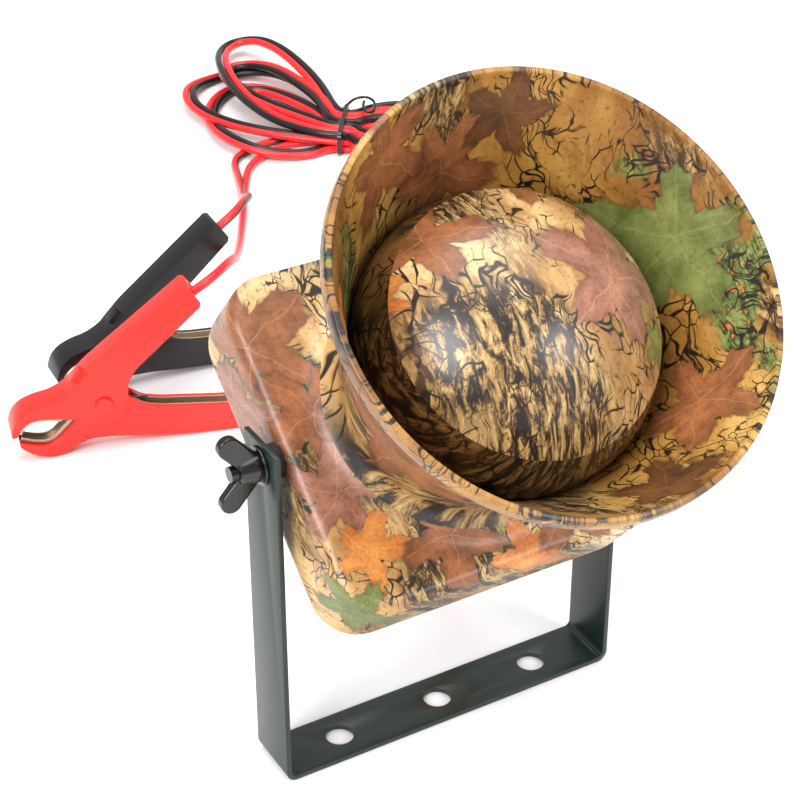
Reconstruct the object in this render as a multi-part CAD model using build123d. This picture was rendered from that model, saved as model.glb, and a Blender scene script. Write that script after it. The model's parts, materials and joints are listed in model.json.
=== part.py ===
# Electronic game caller: a re-entrant horn on a box housing that tilts in a U bracket,
# with a twin battery lead, wound and tied in a hank, that ends in two sprung clips.
# Millimetres. X runs along the tilt axis, the horn points to -Y and up, +Z is up.
# The origin is the middle of the bracket's underside, at its middle screw hole.
from build123d import *
import math
import os

os.makedirs("parts", exist_ok=True)

# Driving dimensions
rimRadius = 80.6            # outside of the horn's rim
bracketLength = 150.0       # over the two legs
bracketHeight = 150.4
strapWidth = 24.8
strapThickness = 2.0
strapBend = 4.5             # outer radius of the bracket's bends
footHoleSpacing = 45.2
footHoleRadius = 5.6
pivotHeight = 141.3
restTilt = 49.6             # the horn's rise above level as it stands

housingHalfWidth = 68.0
housingHalfHeight = 67.0
housingFront = 8.0          # distances along the horn's axis, from the tilt axis
housingBack = -33.0
cornerRadius = 18.0
frontEdgeRadius = 5.0
backEdgeRadius = 12.0
wall = 2.5

rimFront = 115.0
lipDepth = 7.5
lipWidth = 2.4
neckRadius = 46.0
neckFront = 20.0
neckFillet = 12.0
throatRadius = 14.0

domeRadius = 49.7
domeFront = 85.0
domeRise = 24.0
skirtRadius = 54.4
skirtFront = 72.4
skirtBack = 58.0
reflectorWall = 2.0

studRadius = 3.0
running = 0.05              # running clearance of a hinge, on the radius
panelHalf = 55.0
panelThickness = 3.0
sealThickness = 0.8
rearWall = 8.0

keyRadius = 4.8
keyPitch = 12.0
keyCentre = (22.0, -8.0)
keyTravel = 1.0
rockerCentre = (-30.0, -10.0)
glandCentre = (30.0, -38.0)
screenCentre = (0.0, 29.0)
cardCentre = (-23.0, -38.0)
usbCentre = (4.0, -38.0)

leadDiameter = 4.4
leadRadius = leadDiameter / 2
glandLength = 24.0

clipWidth = 15.6
clipSkin = 2.0
clipFit = 0.3
clipPivot = (45.0, 26.0)
clipPlaces = {"red": ((-82.7, 254.8), -14.1), "black": ((-46.0, 291.0), -4.0)}


def save(name, shape):
    shape.label = name
    export_step(shape, "parts/" + name + ".step")


def tilted(shape):
    # The head is drawn level, with its origin on the tilt axis, then turned up to its rest.
    return Pos(0, 0, pivotHeight) * (Rot(-restTilt, 0, 0) * shape)


def slab(width, height, radius, start, end, x=0.0, z=0.0):
    # A rounded plate across the horn's axis, between two distances along that axis.
    outline = Plane.XZ * RectangleRounded(width, height, radius)
    return Pos(x, -start, z) * extrude(outline, amount=end - start)


def disc(radius, start, end, x=0.0, z=0.0):
    return Pos(x, -start, z) * extrude(Plane.XZ * Circle(radius), amount=end - start)


def turned(points):
    # A closed outline of (radius, distance along the axis), turned about the horn's axis.
    outline = make_face(Polyline([(r, -u, 0) for r, u in points], close=True))
    return revolve(outline, Axis.Y)


def acrossX(shape, x):
    return Pos(x, 0, 0) * (Rot(0, 90, 0) * shape)


# Bracket
def bracket():
    half = bracketLength / 2
    inner = half - strapThickness
    block = Box(bracketLength, strapWidth, bracketHeight, align=(Align.CENTER, Align.CENTER, Align.MIN))
    bends = block.edges().filter_by(Axis.Y).group_by(Axis.Z)[0]
    block = fillet(bends, strapBend)
    hollow = Box(2 * inner, strapWidth + 2, bracketHeight, align=(Align.CENTER, Align.CENTER, Align.MIN))
    inside = hollow.edges().filter_by(Axis.Y).group_by(Axis.Z)[0]
    hollow = fillet(inside, strapBend - strapThickness)
    strap = block - Pos(0, 0, strapThickness) * hollow
    for k in (-1, 0, 1):
        strap -= Pos(k * footHoleSpacing, 0, 0) * Cylinder(footHoleRadius, 4 * strapThickness)
    strap -= Pos(0, 0, pivotHeight) * (Rot(0, 90, 0) * Cylinder(studRadius + running, 2 * bracketLength))
    return strap


save("bracket", bracket())


# Housing and horn, one moulding, written as two solids that meet at the housing's front face
def bellOutside():
    lipBack = rimFront - lipDepth
    neck = (neckRadius, -neckFront)
    middle = (60.0, -(neckFront + lipBack) / 2 - 2)
    mouth = (rimRadius - 3.6, -lipBack)
    with BuildLine() as outline:
        Polyline((0, -housingFront + 1), (neckRadius + neckFillet, -housingFront + 1),
                 (neckRadius + neckFillet, -housingFront))
        ThreePointArc((neckRadius + neckFillet, -housingFront),
                      (neckRadius + 3.6, -housingFront - 3.4), neck)
        ThreePointArc(neck, middle, mouth)
        Polyline(mouth, (rimRadius - 0.8, -lipBack - 0.6), (rimRadius, -lipBack - 1.6),
                 (rimRadius, -rimFront + 2.0), (rimRadius - 0.7, -rimFront), (0, -rimFront),
                 (0, -housingFront + 1))
    return revolve(make_face(outline.line), Axis.Y)


def bellInside():
    floor = -housingFront
    neck = (neckRadius - wall, -neckFront)
    lipBack = rimFront - lipDepth
    middle = (60.0 - wall, -(neckFront + lipBack) / 2 - 2)
    mouth = (rimRadius - lipWidth - 1.2, -rimFront + 4.0)
    with BuildLine() as outline:
        Polyline((0, floor), (neckRadius - 10, floor))
        ThreePointArc((neckRadius - 10, floor), (neckRadius - 5.0, floor - 3.6), neck)
        ThreePointArc(neck, middle, mouth)
        Polyline(mouth, (rimRadius - lipWidth, -rimFront), (rimRadius - lipWidth, -rimFront - 2),
                 (0, -rimFront - 2), (0, floor))
    return revolve(make_face(outline.line), Axis.Y)


def shell():
    width = 2 * housingHalfWidth
    height = 2 * housingHalfHeight
    body = slab(width, height, cornerRadius, housingBack, housingFront)
    body = fillet(body.edges().group_by(Axis.Y)[-1], backEdgeRadius)
    body = fillet(body.edges().group_by(Axis.Y)[0], frontEdgeRadius)
    body += bellOutside()
    room = slab(width - 2 * wall, height - 2 * wall, cornerRadius - wall,
                housingBack + rearWall, housingFront - wall)
    body -= room
    body -= bellInside()
    body -= disc(throatRadius, 0, housingFront + 1)
    rebate = panelHalf + 0.3
    body -= slab(2 * rebate, 2 * rebate, 8.3, housingBack - 1, housingBack + panelThickness + sealThickness)
    mouth = Plane.XZ * RectangleRounded(100, 100, 8)
    for x, z in screwPlaces:
        mouth -= Plane.XZ * (Pos(x, z) * Circle(7.0))
    body -= Pos(0, -housingBack + 1, 0) * extrude(mouth, amount=rearWall + 2)
    for x, z in screwPlaces:
        body -= disc(1.5, housingBack, housingBack + rearWall + 1, x, z)
    body -= Rot(0, 90, 0) * Cylinder(studRadius + 0.2, 2 * width)
    return body


screwPlaces = [(x, z) for x in (-46.0, 46.0) for z in (-46.0, 46.0)]
moulding = shell()
ahead = Box(600, 300, 600, align=(Align.CENTER, Align.MAX, Align.CENTER))
ahead = Pos(0, -housingFront, 0) * ahead
save("housing", tilted(moulding - ahead))
save("bell", tilted(moulding & ahead))


# Reflector, tone arm and driver
def reflectorDome():
    # A slice of a hollow ball: the ball's radius follows from the dome's foot and rise.
    ball = (domeRadius ** 2 + domeRise ** 2) / (2 * domeRise)
    centre = Pos(0, ball - domeRise - domeFront, 0)
    dome = centre * (Sphere(ball) - Sphere(ball - reflectorWall))
    keep = Box(3 * ball, 2.2 * domeRise, 3 * ball, align=(Align.CENTER, Align.MAX, Align.CENTER))
    return dome & Pos(0, -domeFront, 0) * keep


def reflectorSkirt():
    return turned([
        (domeRadius, domeFront), (skirtRadius - 1.0, skirtFront + 1.6), (skirtRadius, skirtFront - 1.5),
        (skirtRadius, skirtBack), (skirtRadius - reflectorWall, skirtBack),
        (skirtRadius - reflectorWall, skirtFront - 2.0), (domeRadius - reflectorWall, domeFront)])


def toneArm():
    tube = turned([
        (throatRadius, housingFront), (28, housingFront), (28, housingFront + 3),
        (18, housingFront + 4), (23, skirtFront), (21, skirtFront)])
    for turn in (90, 210, 330):
        vane = Box(skirtRadius - reflectorWall - 19.55, 3, 7, align=(Align.MIN, Align.CENTER, Align.CENTER))
        vane = Pos(19.5, 0, 0) * vane
        tube += Pos(0, -skirtBack - 5, 0) * (Rot(90, 0, 0) * (Rot(0, 0, turn) * vane))
    return tube


save("reflector_dome", tilted(reflectorDome()))
save("reflector_skirt", tilted(reflectorSkirt()))
save("tone_arm", tilted(toneArm()))

innerFace = housingFront - wall


def diaphragm():
    # A thin shallow dome in front of the magnet's gap.
    ball = 34.0
    shape = Pos(0, ball - innerFace + 1.0, 0) * (Sphere(ball) - Sphere(ball - 0.6))
    return shape & Rot(90, 0, 0) * Cylinder(17, 2 * innerFace)


save("driver_diaphragm", tilted(diaphragm()))
save("driver_flange", tilted(turned([
    (18.5, innerFace), (33, innerFace), (33, innerFace - 5), (18.5, innerFace - 5)])))
save("driver_magnet", tilted(turned([
    (20.5, innerFace - 5), (32, innerFace - 5), (32, innerFace - 17), (20.5, innerFace - 17)])))
save("driver_yoke", tilted(turned([
    (0, innerFace - 7.5), (17.2, innerFace - 7.5), (17.2, innerFace - 17), (30, innerFace - 17),
    (30, innerFace - 21), (0, innerFace - 21)])))


# Electronics inside the housing
boardBack = -12.0
save("amp_board", tilted(slab(112, 24, 2, boardBack, boardBack + 1.6, 0, -50)))


def heatSink():
    block = slab(50, 18, 0.5, boardBack + 1.6, boardBack + 4, 14, -50)
    for k in range(7):
        fin = Box(1.6, 9.5, 18, align=(Align.CENTER, Align.MAX, Align.CENTER))
        block += Pos(-9 + k * 7.6, -boardBack - 3.5, -50) * fin
    return block


save("heat_sink", tilted(heatSink()))


# Rear panel and its controls
panelFront = housingBack + panelThickness
keyPlaces = {
    "key_play": keyCentre,
    "key_up": (keyCentre[0], keyCentre[1] + keyPitch),
    "key_down": (keyCentre[0], keyCentre[1] - keyPitch),
    "key_previous": (keyCentre[0] + keyPitch, keyCentre[1]),
    "key_next": (keyCentre[0] - keyPitch, keyCentre[1])}
rockerHalf = (10.0, 7.9)
glandRadius = 6.0


def backPanel():
    plate = slab(2 * panelHalf, 2 * panelHalf, 8, housingBack, panelFront)
    through = (housingBack - 1, panelFront + 1)
    plate -= slab(56, 26, 2, *through, *screenCentre)
    for place in keyPlaces.values():
        plate -= disc(keyRadius + 0.4, *through, *place)
    plate -= slab(22, 17.4, 1, *through, *rockerCentre)
    plate -= slab(27, 4.6, 1, *through, *cardCentre)
    plate -= slab(14, 7, 0.8, *through, *usbCentre)
    plate -= disc(glandRadius, *through, *glandCentre)
    for place in screwPlaces:
        plate -= disc(1.7, *through, *place)
    return plate


def panelSeal():
    start = panelFront
    ring = slab(2 * panelHalf, 2 * panelHalf, 8, start, start + sealThickness)
    ring -= slab(101, 101, 6, start - 1, start + 2)
    return ring


def panelScrew(place):
    head = disc(3.2, housingBack - 1.8, housingBack, *place)
    head = fillet(head.edges().group_by(Axis.Y)[-1], 0.9)
    shank = disc(1.5, housingBack, housingBack + 10, *place)
    slotWide = slab(3.6, 0.8, 0.2, housingBack - 2.5, housingBack - 0.9, *place)
    slotTall = slab(0.8, 3.6, 0.2, housingBack - 2.5, housingBack - 0.9, *place)
    return head + shank - slotWide - slotTall


save("back_panel", tilted(backPanel()))
save("panel_seal", tilted(panelSeal()))
for count, place in enumerate(screwPlaces, 1):
    save("panel_screw_%d" % count, tilted(panelScrew(place)))
save("screen_window", tilted(slab(56, 26, 2, housingBack + 0.4, housingBack + 2.2, *screenCentre)))
save("screen_module", tilted(slab(62, 32, 1, panelFront, panelFront + 5, *screenCentre)))


def key(place):
    cap = disc(keyRadius, housingBack - 2.0, panelFront + 0.1, *place)
    cap = fillet(cap.edges().group_by(Axis.Y)[-1], 0.8)
    return cap + disc(keyRadius + 0.9, panelFront + 0.1, panelFront + 1.1, *place)


for name, place in keyPlaces.items():
    save(name, tilted(key(place)))
switchFace = panelFront + 1.3 + keyTravel
save("key_board", tilted(slab(40, 34, 2, switchFace, switchFace + 1.6, *keyCentre)))


def rockerFrame():
    x, z = rockerCentre
    frame = slab(26, 21, 2, housingBack - 1.2, housingBack, x, z)
    frame += slab(22, 17.4, 1, housingBack, panelFront + 8, x, z)
    frame -= slab(2 * rockerHalf[0] - 1, 2 * rockerHalf[1], 0.2, housingBack - 2, panelFront + 6.5, x, z)
    frame -= Pos(x, -rockerPivot, z) * (Rot(0, 90, 0) * Cylinder(1.0 + running, 21.4))
    return frame


def rocker():
    # A drum about its own pivot, dished to a shallow V on its outer side.
    x, z = rockerCentre
    drum = Rot(0, 90, 0) * Cylinder(rockerHalf[1] - 0.3, 2 * rockerHalf[0] - 1.6)
    drum = Pos(0, -rockerPivot, 0) * drum
    for side in (-1, 1):
        cut = Pos(0, -housingBack + 2.6, 0) * (Rot(side * 9, 0, 0) * Box(40, 4, 60))
        drum -= cut
    drum -= Pos(0, -rockerPivot - 14, 0) * Box(40, 20, 40)
    drum += Pos(0, -rockerPivot, 0) * (Rot(0, 90, 0) * Cylinder(1.0, 21.0))
    rest = Pos(0, -rockerPivot, 0) * (Rot(rockerSwing / 2, 0, 0) * (Pos(0, rockerPivot, 0) * drum))
    return Pos(x, 0, z) * rest


rockerPivot = panelFront
rockerSwing = 14.0
save("rocker_frame", tilted(rockerFrame()))
save("rocker", tilted(rocker()))


def cardSocket():
    x, z = cardCentre
    body = slab(30, 6, 0.5, panelFront, panelFront + 9, x, z)
    return body - slab(25, 2.6, 0.2, panelFront - 1, panelFront + 7.5, x, z)


def usbSocket():
    x, z = usbCentre
    body = slab(14, 7, 0.8, housingBack, panelFront + 9, x, z)
    body -= slab(12.4, 5.2, 0.4, housingBack - 1, panelFront + 8, x, z)
    return body + slab(11, 1.8, 0.2, housingBack + 2, panelFront + 8.2, x, z + 1.2)


save("card_socket", tilted(cardSocket()))
save("usb_socket", tilted(usbSocket()))


def cableGland():
    x, z = glandCentre
    shape = turned([
        (0, panelFront + 7), (glandRadius, panelFront + 7), (glandRadius, housingBack),
        (8.5, housingBack), (8.5, housingBack - 3), (7.2, housingBack - 5),
        (5.6, housingBack - glandLength), (0, housingBack - glandLength)])
    return Pos(x, 0, z) * shape


def glandNut():
    x, z = glandCentre
    outline = Plane.XZ * (RegularPolygon(8.5, 6) - Circle(glandRadius))
    return Pos(x, -panelFront, z) * extrude(outline, amount=4)


save("cable_gland", tilted(cableGland()))
save("gland_nut", tilted(glandNut()))


# Tilt clamp, one on each side
legInside = bracketLength / 2 - strapThickness
legOutside = bracketLength / 2
nutStart = legOutside + 1.4
nutLength = 8.0
padRadius = 6.5
studLength = 25.0


def ring(outer, bore, start, end, side):
    plate = Cylinder(outer, end - start) - Cylinder(bore, end - start + 1)
    return acrossX(plate, side * (start + end) / 2)


def pivotStud(side):
    shank = acrossX(Cylinder(studRadius, studLength), side * (housingHalfWidth - wall + studLength / 2 - 3))
    head = extrude(RegularPolygon(5.2, 6), amount=4)
    head = acrossX(head, side * (housingHalfWidth - wall) - 4 * (side > 0))
    return shank + head


def wingNut(side):
    hub = Cylinder(5.8, 2, align=(Align.CENTER, Align.CENTER, Align.MIN))
    hub += Pos(0, 0, 2) * Cone(5.8, 4.4, nutLength - 2, align=(Align.CENTER, Align.CENTER, Align.MIN))
    nut = hub
    for way in (-1, 1):
        wing = SlotCenterToCenter(9.5, 8.6, rotation=48)
        wing = extrude(Pos(7.8, 8.0) * wing, amount=1.9, both=True)
        wing = fillet(wing.edges().group_by(Axis.Z)[0], 0.8)
        wing = fillet(wing.edges().group_by(Axis.Z)[-1], 0.8)
        # The slot is drawn with its first axis along the stud and its second along the wing's span.
        wing = Plane((0, 0, 0), x_dir=(0, 0, 1), z_dir=(way, 0, 0)) * wing
        nut += wing
    nut -= Cylinder(studRadius + running, 60)
    nut = Rot(0, 0, 90) * nut
    return Pos(side * nutStart, 0, 0) * (Rot(0, side * 90, 0) * nut)


for side, name in ((-1, "left"), (1, "right")):
    save("pivot_stud_" + name, tilted(pivotStud(side)))
    pad = ring(padRadius, studRadius + 0.1, housingHalfWidth, legInside - 0.1, side)
    save("friction_pad_" + name, tilted(pad))
    save("washer_" + name, tilted(ring(7.5, studRadius + 0.1, legOutside + 0.1, nutStart - 0.1, side)))
    save("wing_nut_" + name, Pos(0, 0, pivotHeight) * wingNut(side))


# Battery clips. Each is drawn lying along X from its nose, standing on its lower half.
upperOutline = [
    (0, 15), (2, 22), (6.5, 26.5), (13, 29), (21, 30.3), (28, 33.5), (34, 39.5), (39.5, 45.0), (88, 82.5),
    (94.5, 72.5), (61, 43), (57, 36), (56.3, 26), (53, 18), (45, 14.4), (36, 18), (31, 20),
    (26, 21.4), (15, 23.2), (9, 22.4), (4.8, 18.8), (3, 15)]
lowerOutline = [
    (4, 10.7), (10, 8.2), (17, 6.6), (22, 8.8), (27.4, 14.2), (32.6, 19.2), (38, 31), (45, 36), (52, 33.5),
    (57.5, 27), (65, 21.4), (73, 19.2), (102, 15.2), (112, 14.5), (112, 0), (87, 1.6), (66.6, 4.0),
    (49.6, 6.5), (39, 7.2), (31, 5), (25, 1.2), (18.4, 0), (11, 2.2), (4.2, 7.4)]
coreSteel = 0.8
cornerReach = 1.6
cornerShare = 0.22


def softened(points):
    # Each corner becomes two, a short way along its edges and never further than cornerReach.
    soft = []
    for k, here in enumerate(points):
        for other in (points[k - 1], points[(k + 1) % len(points)]):
            away = math.dist(here, other)
            share = min(cornerShare, cornerReach / away)
            soft.append((here[0] + share * (other[0] - here[0]), here[1] + share * (other[1] - here[1])))
    return soft


def plate(points, width, shift=(0.0, 0.0)):
    moved = [(s + shift[0], h + shift[1]) for s, h in softened(points)]
    outline = make_face(Polyline(moved, close=True))
    return extrude(Plane.XZ * outline, amount=width / 2, both=True)


def channel(points, width, skin, shift):
    # A channel: the outline, less a narrower copy moved away from its web.
    return plate(points, width) - plate(points, width - 2 * skin, shift)


def pivotHole(radius):
    s, h = clipPivot
    return Pos(s, 0, h) * (Rot(90, 0, 0) * Cylinder(radius, 40))


def clipParts():
    rivet = 2.0
    lowerWidth = clipWidth - 2 * clipSkin - 2 * clipFit
    webUp = (1.6, -2.4)
    webDown = (0.0, 2.2)
    upper = channel(upperOutline, clipWidth, clipSkin, webUp) - pivotHole(rivet + running)
    lower = channel(lowerOutline, lowerWidth, clipSkin, webDown) - pivotHole(rivet)
    s, h = clipPivot
    pin = Pos(s, 0, h) * (Rot(90, 0, 0) * Cylinder(rivet, clipWidth + 0.6))
    for side in (-1, 1):
        head = Cylinder(4.2, 1.2)
        head = fillet(head.edges().group_by(Axis.Z)[-1], 0.6)
        pin += Pos(s, side * (clipWidth / 2 + 0.7), h) * (Rot(-90 * side, 0, 0) * head)
    boss = Pos(s - 11, 0, h + 14.5) * (Rot(0, -50, 0) * Box(7, 5, 3))
    upper += boss - plate(upperOutline, clipWidth - 2 * clipSkin, webUp)
    return {"upper": upper, "lower": lower, "rivet": pin}


def clipCore(points, width, web, lengthFrom):
    # The bare steel channel inside a handle's sleeve.
    more = tuple(w * (1 + coreSteel / 2.2) for w in web)
    inside = plate(points, width, web) & plate(points, width)
    core = inside - plate(points, width - 2 * coreSteel, more)
    keep = Pos(lengthFrom + 100, 0, 0) * Box(200, 60, 300)
    return core & keep


def clipSpring():
    s, h = clipPivot
    coil = Rot(90, 0, 0) * (Cylinder(4.6, 4.4) - Cylinder(2.6, 6))
    lowerLeg = Pos(0, 1.8, -4.0) * Box(22, 0.8, 1.2, align=(Align.MIN, Align.CENTER, Align.CENTER))
    upperLeg = Pos(0, -1.8, 4.0) * Box(22, 0.8, 1.2, align=(Align.MIN, Align.CENTER, Align.CENTER))
    upperLeg = Rot(0, -44, 0) * upperLeg
    return Pos(s, 0, h) * (coil + lowerLeg + upperLeg)


def placed(shape, colour):
    (x, y), yaw = clipPlaces[colour]
    return Pos(x, y, 0) * (Rot(0, 0, yaw) * shape)


innerUpper = clipWidth - 2 * clipSkin
innerLower = innerUpper - 2 * clipFit - 2 * clipSkin
for colour in ("red", "black"):
    for half, shape in clipParts().items():
        save("clip_%s_%s" % (colour, half), placed(shape, colour))
    save("clip_%s_core" % colour, placed(clipCore(lowerOutline, innerLower, (0.0, 2.2), 60), colour))
    save("clip_%s_spring" % colour, placed(clipSpring(), colour))


# Leads. Each route is a list of chosen points; the tube has straight runs and tangent arcs.
def tube(points, label):
    corners = [Vector(*p) for p in points]
    radii = []
    for before, here, after in zip(corners, corners[1:], corners[2:]):
        turn = math.radians((here - before).get_angle(after - here))
        shorter = min((here - before).length, (after - here).length)
        radii.append(0.45 * shorter / math.tan(turn / 2))
    path = FilletPolyline(*points, radius=radii)
    start = Plane(origin=path @ 0, z_dir=path % 0)
    body = sweep(start * Circle(leadRadius), path=path)
    expected = math.pi * leadRadius ** 2 * path.length
    print(label, "length %.1f" % path.length, "least radius %.1f" % min(radii),
          "volume ratio %.4f" % (body.volume / expected))
    return body


floorHeight = leadRadius + 0.1
twinGap = leadDiameter + 0.4

# From the gland down to the ground behind the stand
dropRoute = [
    (27.6, 8.05, 73.2), (27.6, 17.1, 62.6), (28.4, 32, 45), (31, 50, 25), (35, 70, 8.6), (39, 84, 5.0)]
# Along the ground to the hank
feedRoute = [
    (39, 84, 5.0), (42, 94.5, floorHeight), (46, 112, floorHeight), (54, 138, floorHeight),
    (70, 172, floorHeight), (94, 208, floorHeight), (124, 240, floorHeight), (157, 271, floorHeight),
    (187, 305, floorHeight), (207, 339, floorHeight), (219, 373, floorHeight), (226, 405, floorHeight),
    (229, 434, floorHeight)]
tailRoutes = {
    "red": [
        (-3.6, 234.9, 69.4), (6.4, 232.4, 76.2), (18, 234, 80), (30, 244, 79), (42, 262, 70), (55, 288, 54),
        (70, 318, 37), (88, 352, 21), (106, 386, 9.5), (123, 418, 3.6), (138, 446, floorHeight),
        (152, 470, floorHeight)],
    "black": [
        (35.4, 285.3, 69.4), (45.8, 284.6, 76.6), (57, 288, 80.5), (68, 300, 79), (80, 320, 69),
        (92, 348, 53), (105, 378, 36), (118, 408, 21), (131, 436, 10), (142, 462, 4.2),
        (150, 484, floorHeight)]}


def beside(points, gap):
    # The same route, moved sideways by a gap: a second lead that keeps beside the first.
    moved = []
    for k, (x, y, z) in enumerate(points):
        before = points[max(k - 1, 0)]
        after = points[min(k + 1, len(points) - 1)]
        run = math.hypot(after[0] - before[0], after[1] - before[1])
        moved.append((x + gap * (after[1] - before[1]) / run, y - gap * (after[0] - before[0]) / run, z))
    return moved


save("lead_red_drop", tube(dropRoute, "red drop"))
save("lead_black_drop", tube(beside(dropRoute, twinGap), "black drop"))
save("lead_red_feed", tube(feedRoute, "red feed"))
save("lead_black_feed", tube(beside(feedRoute, twinGap), "black feed"))
for colour, route in tailRoutes.items():
    save("lead_%s_tail" % colour, tube(route, colour + " tail"))


# Hank of both leads, lying on the ground, and its tie
tieCentre = (224.0, 481.0)
tieTurn = 144.4             # the hank's own direction through its tie, in degrees from +X
hankHeight = 13.6
neckHalf = 19.5
hankOutline = [
    (212.6, 465.1), (196, 462), (174, 467), (157, 479), (149, 500), (153, 526), (165, 556), (180, 587),
    (199, 613), (221, 632), (243, 636), (256, 618), (256, 585), (250, 550), (244, 519), (235.4, 496.9),
    (250, 488), (270, 477), (290, 460), (301, 438), (296, 418), (277, 411), (256, 419), (236, 436),
    (222, 452)]


def atTie(shape):
    return Pos(tieCentre[0], tieCentre[1], 0) * (Rot(0, 0, tieTurn) * shape)


def hank():
    outline = make_face(Spline(*[(x, y, 0) for x, y in hankOutline], periodic=True))
    body = extrude(outline, amount=hankHeight)
    groove = Box(3.4, 3 * neckHalf, 2.3, align=(Align.CENTER, Align.CENTER, Align.MIN))
    return body - atTie(groove)


def hankTie():
    height = hankHeight + 2.2
    outer = Box(2.4, 2 * neckHalf + 8, height, align=(Align.CENTER, Align.CENTER, Align.MIN))
    outer = fillet(outer.edges().filter_by(Axis.X), 5)
    inner = Box(4, 2 * neckHalf + 4.4, height - 3.8, align=(Align.CENTER, Align.CENTER, Align.MIN))
    inner = Pos(0, 0, 2.0) * inner
    return atTie(outer - inner)


save("hank", hank())
save("hank_tie", hankTie())
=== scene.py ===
import json
import math
import bpy
import bmesh
import numpy as np
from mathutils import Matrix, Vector


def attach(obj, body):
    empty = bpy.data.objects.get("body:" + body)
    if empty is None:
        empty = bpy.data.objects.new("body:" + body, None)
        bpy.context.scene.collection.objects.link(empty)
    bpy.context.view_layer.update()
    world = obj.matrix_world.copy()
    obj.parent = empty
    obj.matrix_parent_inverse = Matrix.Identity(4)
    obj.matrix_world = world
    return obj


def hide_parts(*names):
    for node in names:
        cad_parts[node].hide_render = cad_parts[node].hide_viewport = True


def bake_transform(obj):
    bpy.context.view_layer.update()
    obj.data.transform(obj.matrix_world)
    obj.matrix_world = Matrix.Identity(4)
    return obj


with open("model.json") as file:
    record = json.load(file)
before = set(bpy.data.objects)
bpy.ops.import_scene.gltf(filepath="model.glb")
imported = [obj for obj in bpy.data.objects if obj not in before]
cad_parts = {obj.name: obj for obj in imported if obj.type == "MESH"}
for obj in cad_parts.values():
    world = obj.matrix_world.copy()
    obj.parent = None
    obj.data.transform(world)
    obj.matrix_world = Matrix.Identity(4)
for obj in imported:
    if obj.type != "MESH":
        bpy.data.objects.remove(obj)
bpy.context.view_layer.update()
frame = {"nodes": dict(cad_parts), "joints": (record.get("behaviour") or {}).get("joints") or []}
nodes = frame["nodes"]
joints = {joint["name"]: joint for joint in frame["joints"]}
print("frame loaded")

# The head's own directions, from the way its keys press: along the horn, across it, and the tilt axis
along = Vector(joints["key_play_press"]["axis"]).normalized()
tiltAxis = Vector((1, 0, 0))
across = tiltAxis.cross(along).normalized()
if across.z < 0:
    across.negate()
pivot = Vector(joints["tilt"]["pos_m"])


# Camera, light and floor
view = {"place": (-0.3492, -0.5667, 0.5651), "azimuth": -30.35, "elevation": 32.28, "lens": 95.7}


def makeCamera():
    camera = bpy.data.objects.new("camera", bpy.data.cameras.new("camera"))
    camera.data.lens = view["lens"]
    camera.data.sensor_width = 36
    camera.data.clip_end = 20
    camera.location = view["place"]
    camera.rotation_euler = (math.radians(90 - view["elevation"]), 0, math.radians(view["azimuth"]))
    bpy.context.scene.collection.objects.link(camera)
    bpy.context.scene.camera = camera


def makeLight(name, place, target, size, power):
    lamp = bpy.data.lights.new(name, "AREA")
    lamp.size = size
    lamp.energy = power
    holder = bpy.data.objects.new(name, lamp)
    holder.location = place
    holder.rotation_euler = (Vector(target) - Vector(place)).to_track_quat("-Z", "Y").to_euler()
    bpy.context.scene.collection.objects.link(holder)


def makeStudio():
    centre = (0.05, 0.15, 0.1)
    makeLight("softboxLeft", (-1.9, -0.9, 1.7), centre, 1.3, 62)
    makeLight("softboxFront", (0.9, -2.1, 1.5), centre, 1.0, 30)
    makeLight("softboxTop", (0.2, 0.3, 2.4), centre, 2.2, 46)
    world = bpy.data.worlds.new("studioAir")
    world.use_nodes = True
    world.node_tree.nodes["Background"].inputs["Color"].default_value = (1.0, 1.0, 1.0, 1)
    world.node_tree.nodes["Background"].inputs["Strength"].default_value = 0.6
    bpy.context.scene.world = world
    bpy.context.scene.view_settings.view_transform = "Standard"
    floorSize = 6.0
    mesh = bpy.data.meshes.new("floor")
    half = floorSize / 2
    corners = [(-half, -half, 0), (half, -half, 0), (half, half, 0), (-half, half, 0)]
    mesh.from_pydata(corners, [], [(0, 1, 2, 3)])
    floor = bpy.data.objects.new("floor", mesh)
    floor.location.z = -0.0004
    bpy.context.scene.collection.objects.link(floor)
    paint = bpy.data.materials.new("floorPaint")
    paint.use_nodes = True
    shader = paint.node_tree.nodes["Principled BSDF"]
    shader.inputs["Base Color"].default_value = (0.93, 0.93, 0.93, 1)
    shader.inputs["Roughness"].default_value = 0.9
    mesh.materials.append(paint)


makeCamera()
makeStudio()
print("camera and studio ready")


# The leads' routes, millimetres
leadDiameter = 0.0044
leadHalf = leadDiameter / 2
ground = 2.3
feedRoute = [
    (27.6, 8.05, 73.2), (27.6, 17.1, 62.6), (28.4, 32, 45), (31, 50, 25), (35, 70, 8.6), (39, 84, 5.0),
    (42, 94.5, ground), (46, 112, ground), (54, 138, ground), (70, 172, ground), (94, 208, ground),
    (124, 240, ground), (157, 271, ground), (187, 305, ground), (207, 339, ground), (219, 373, ground),
    (226, 405, ground), (228, 430, ground), (226, 452, ground)]
tailRoutes = {
    "red": [
        (138, 446, ground), (123, 418, 3.6), (106, 386, 9.5), (88, 352, 21), (70, 318, 37), (55, 288, 54),
        (42, 262, 70), (30, 244, 79), (18, 234, 80), (6.4, 232.4, 76.2), (-3.6, 234.9, 69.4)],
    "black": [
        (142, 462, 4.2), (131, 436, 10), (118, 408, 21), (105, 378, 36), (92, 348, 53), (80, 320, 69),
        (68, 300, 79), (57, 288, 80.5), (45.8, 284.6, 76.6), (35.4, 285.3, 69.4)]}
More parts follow.
